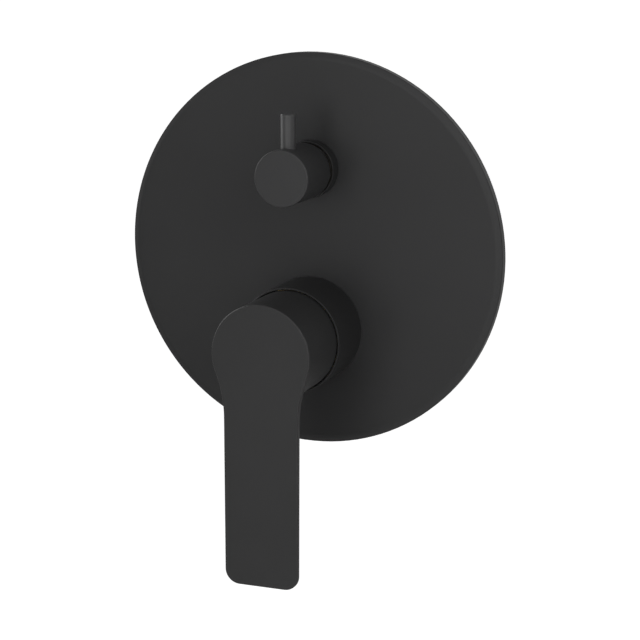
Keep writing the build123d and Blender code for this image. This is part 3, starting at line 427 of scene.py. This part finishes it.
def cast_brass():
    """Sand-cast brass: a raw skin with a parting line, machined faces, worn edges and threads."""
    n = Nodes("cast_brass")
    x, y, _ = n.axes()
    machined = machined_faces(n)
    raw = n.minus(1.0, machined)
    path = tool_path(n)
    grain = n.noise(scale=1500, detail=3, roughness=0.6)
    swell = n.noise(scale=160, detail=2)
    stain = n.noise(scale=45, detail=4, roughness=0.6)
    streak = n.streaks(path, 1100)

    dull = n.blend(n.span(stain, 0, 1, 0.35, 0.68), (0.40, 0.28, 0.12), (0.57, 0.42, 0.20))
    cut = n.blend(n.span(streak, 0, 1, *NARROW), (0.69, 0.53, 0.26), (0.77, 0.61, 0.33))
    worn = n.span(n.edges(WEAR_REACH), 0, 0.75, 0.01, 0.12)
    worn = n.times(worn, n.span(stain, 0.3, 1, *NARROW))
    color = n.blend(worn, n.blend(machined, dull, cut), (0.80, 0.64, 0.36))

    raw_rough = n.times(raw, n.span(grain, 0.46, 0.62, *WIDE))
    cut_rough = n.times(machined, n.span(streak, 0.17, 0.33, *NARROW))
    rough = n.times(n.add(raw_rough, cut_rough), n.span(worn, 1, 0.6))

    parting = n.span(n.magnitude(n.minus(y, PIPE_Y)), 1, 0, *PARTING_FALL)
    parting = n.times(n.times(parting, raw), n.below(n.magnitude(x), PARTING_X))
    marks = n.times(n.marks(path, CASTING_MARKS), machined)
    threads = n.add(n.covered_thread(*NECK_THREAD), n.covered_thread(*CHAMBER_THREAD))
    normal = n.bump(n.times(grain, raw), strength=0.6, distance=0.00015)
    normal = n.bump(n.times(swell, raw), strength=0.5, distance=0.0006, before=normal)
    normal = n.bump(parting, strength=0.8, distance=0.00025, before=normal)
    normal = n.bump(marks, strength=0.15, distance=0.00001, before=normal)
    normal = n.bump(threads, strength=1.0, distance=0.0014, before=normal)
    return n.finish(color, rough, normal, metallic=1.0)


def foam():
    """Closed-cell foam, open where it was cut."""
    n = Nodes("gasket_foam")
    cell = n.cells(1100)
    color = n.blend(n.span(cell, 0, 1, 0.1, 0.7), (0.03, 0.03, 0.034), (0.085, 0.085, 0.09))
    normal = n.bump(cell, strength=0.7, distance=0.0003)
    return n.finish(color, n.span(cell, 0.75, 0.95), normal)


def alumina():
    """Lapped ceramic: pale, glassy and faintly streaked."""
    n = Nodes("disc_ceramic")
    drift = n.noise(scale=140, detail=3)
    lap = n.noise(scale=4200, detail=1)
    color = n.blend(n.span(drift, 0, 1, *WIDE), (0.84, 0.82, 0.77), (0.91, 0.89, 0.85))
    normal = n.bump(lap, strength=0.06, distance=0.00001)
    return n.finish(color, n.span(lap, 0.12, 0.24, *WIDE), normal)


def moulded(name, dark, light, rough):
    """Moulded plastic or rubber with a fine spark-eroded grain."""
    n = Nodes(name)
    drift = n.noise(scale=60, detail=2)
    grain = n.noise(scale=3200, detail=2)
    color = n.blend(n.span(drift, 0, 1, *WIDE), dark, light)
    gloss = n.span(grain, rough - 0.06, rough + 0.06, *WIDE)
    return n.finish(color, gloss, n.bump(grain, strength=0.2, distance=0.00003))


def make_materials():
    """A material for each slot of the record."""
    made = {paint[0]: satin_black(*paint) for paint in PAINTS}
    made.update({plastic[0]: moulded(*plastic) for plastic in PLASTICS})
    made["gasket_foam"] = foam()
    made["disc_ceramic"] = alumina()
    made["turned_brass"] = turned_brass()
    made["steel"] = turned_steel()
    made["cast_brass"] = cast_brass()
    return made


def dress_nodes(made):
    """Give each CAD node the material of its slot."""
    slots = {row["node"]: row["material_slot"] for row in frame["record"]["subparts"]}
    for name, node in nodes.items():
        node.data.materials.clear()
        node.data.materials.append(made[slots[name]])


# ---------------------------------------------------------------- pipe threads
def port_thread(name, mouth, outward):
    """A pipe socket's right-hand thread: one ridge that winds inward from the chamfered mouth."""
    mouth, outward = Vector(mouth), Vector(outward)
    side = outward.orthogonal().normalized()
    other = outward.cross(side)
    last = int(THREAD_TURNS * THREAD_STEPS)
    shape = bmesh.new()
    rows = []
    for step in range(last + 1):
        angle = 2 * math.pi * step / THREAD_STEPS
        radial = side * math.cos(angle) - other * math.sin(angle)
        depth = THREAD_START + THREAD_PITCH * step / THREAD_STEPS
        # the ridge takes half a turn to rise at one end and to sink at the other
        swell = min(1.0, min(step, last - step) / (THREAD_STEPS / 2))
        rows.append([])
        for across, rise in THREAD_PROFILE:
            r = PORT_R + THREAD_ROOT - (THREAD_ROOT + THREAD_RISE) * rise * swell
            inward = depth + across * THREAD_PITCH
            rows[-1].append(shape.verts.new(mouth - outward * inward + radial * r))
    for near, far in zip(rows, rows[1:]):
        for i in range(len(near)):
            shape.faces.new((near[i - 1], near[i], far[i], far[i - 1])).smooth = True
        for root in (0, -1):
            shape.edges.get((near[root], far[root])).smooth = False
    shape.faces.new(rows[0])
    shape.faces.new(rows[-1][::-1])
    bmesh.ops.recalc_face_normals(shape, faces=shape.faces)
    mesh = bpy.data.meshes.new(name)
    shape.to_mesh(mesh)
    shape.free()
    piece = bpy.data.objects.new(name, mesh)
    scene.collection.objects.link(piece)
    return piece


def make_threads(brass):
    """The four sockets' threads, each a piece on the wall body."""
    ports = (
        ("hot_inlet_thread", (-INLET_X, PIPE_Y, MIXER_Z), (-1, 0, 0)),
        ("cold_inlet_thread", (INLET_X, PIPE_Y, MIXER_Z), (1, 0, 0)),
        ("top_outlet_thread", (0, PIPE_Y, TOP_Z), (0, 0, 1)),
        ("bottom_outlet_thread", (0, PIPE_Y, BOTTOM_Z), (0, 0, -1)),
    )
    for name, mouth, outward in ports:
        piece = port_thread(name, mouth, outward)
        piece.data.materials.append(brass)
        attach(piece, "valve")


# ---------------------------------------------------------------- stage and light
def make_stage():
    """A pale floor far below, which glows for the camera so that it joins the background."""
    mesh = bpy.data.meshes.new("floor")
    corners = ((-1, -1), (1, -1), (1, 1), (-1, 1))
    places = [(x * FLOOR_REACH, y * FLOOR_REACH, FLOOR_Z) for x, y in corners]
    mesh.from_pydata(places, [], [(0, 1, 2, 3)])
    floor = bpy.data.objects.new("floor", mesh)
    scene.collection.objects.link(floor)
    n = Nodes("pale_floor")
    rays = n.tree.nodes.new("ShaderNodeLightPath").outputs
    seen = n.add(rays["Is Camera Ray"], n.times(rays["Is Glossy Ray"], FLOOR_GLOSS))
    seen = n.add(seen, rays["Is Transmission Ray"], clamp=True)
    n.put(n.shader.inputs["Emission Color"], (1, 1, 1, 1))
    n.put(n.shader.inputs["Emission Strength"], n.times(seen, FLOOR_GLOW))
    mesh.materials.append(n.finish((0.8, 0.8, 0.8, 1), 0.9))


def area_lamp(name, place, width, height, watts):
    data = bpy.data.lights.new(name, "AREA")
    data.shape = "RECTANGLE"
    data.size = width
    data.size_y = height
    data.energy = watts
    lamp = bpy.data.objects.new(name, data)
    lamp.location = place
    aim = Vector(LAMP_AIM) - Vector(place)
    lamp.rotation_euler = aim.to_track_quat("-Z", "Y").to_euler()
    scene.collection.objects.link(lamp)


def make_light():
    """A white world, dim as light but bright to the camera and in reflections, and the lamps."""
    world = bpy.data.worlds.new("studio")
    scene.world = world
    world.use_nodes = True
    tree = world.node_tree
    background = tree.nodes["Background"]
    background.inputs["Color"].default_value = (1, 1, 1, 1)
    rays = tree.nodes.new("ShaderNodeLightPath").outputs
    level = tree.nodes.new("ShaderNodeValue").outputs[0]
    level.default_value = WORLD_LEVEL
    seen = {"Is Glossy Ray": WORLD_GLOSS, "Is Transmission Ray": 1.0, "Is Camera Ray": 1.0}
    for ray, strength in seen.items():
        mix = tree.nodes.new("ShaderNodeMix")
        tree.links.new(rays[ray], mix.inputs["Factor"])
        tree.links.new(level, mix.inputs["A"])
        mix.inputs["B"].default_value = strength
        level = mix.outputs["Result"]
    tree.links.new(level, background.inputs["Strength"])
    for lamp in LAMPS:
        area_lamp(*lamp)


make_camera()
materials = make_materials()
dress_nodes(materials)
make_threads(materials["cast_brass"])
make_stage()
make_light()
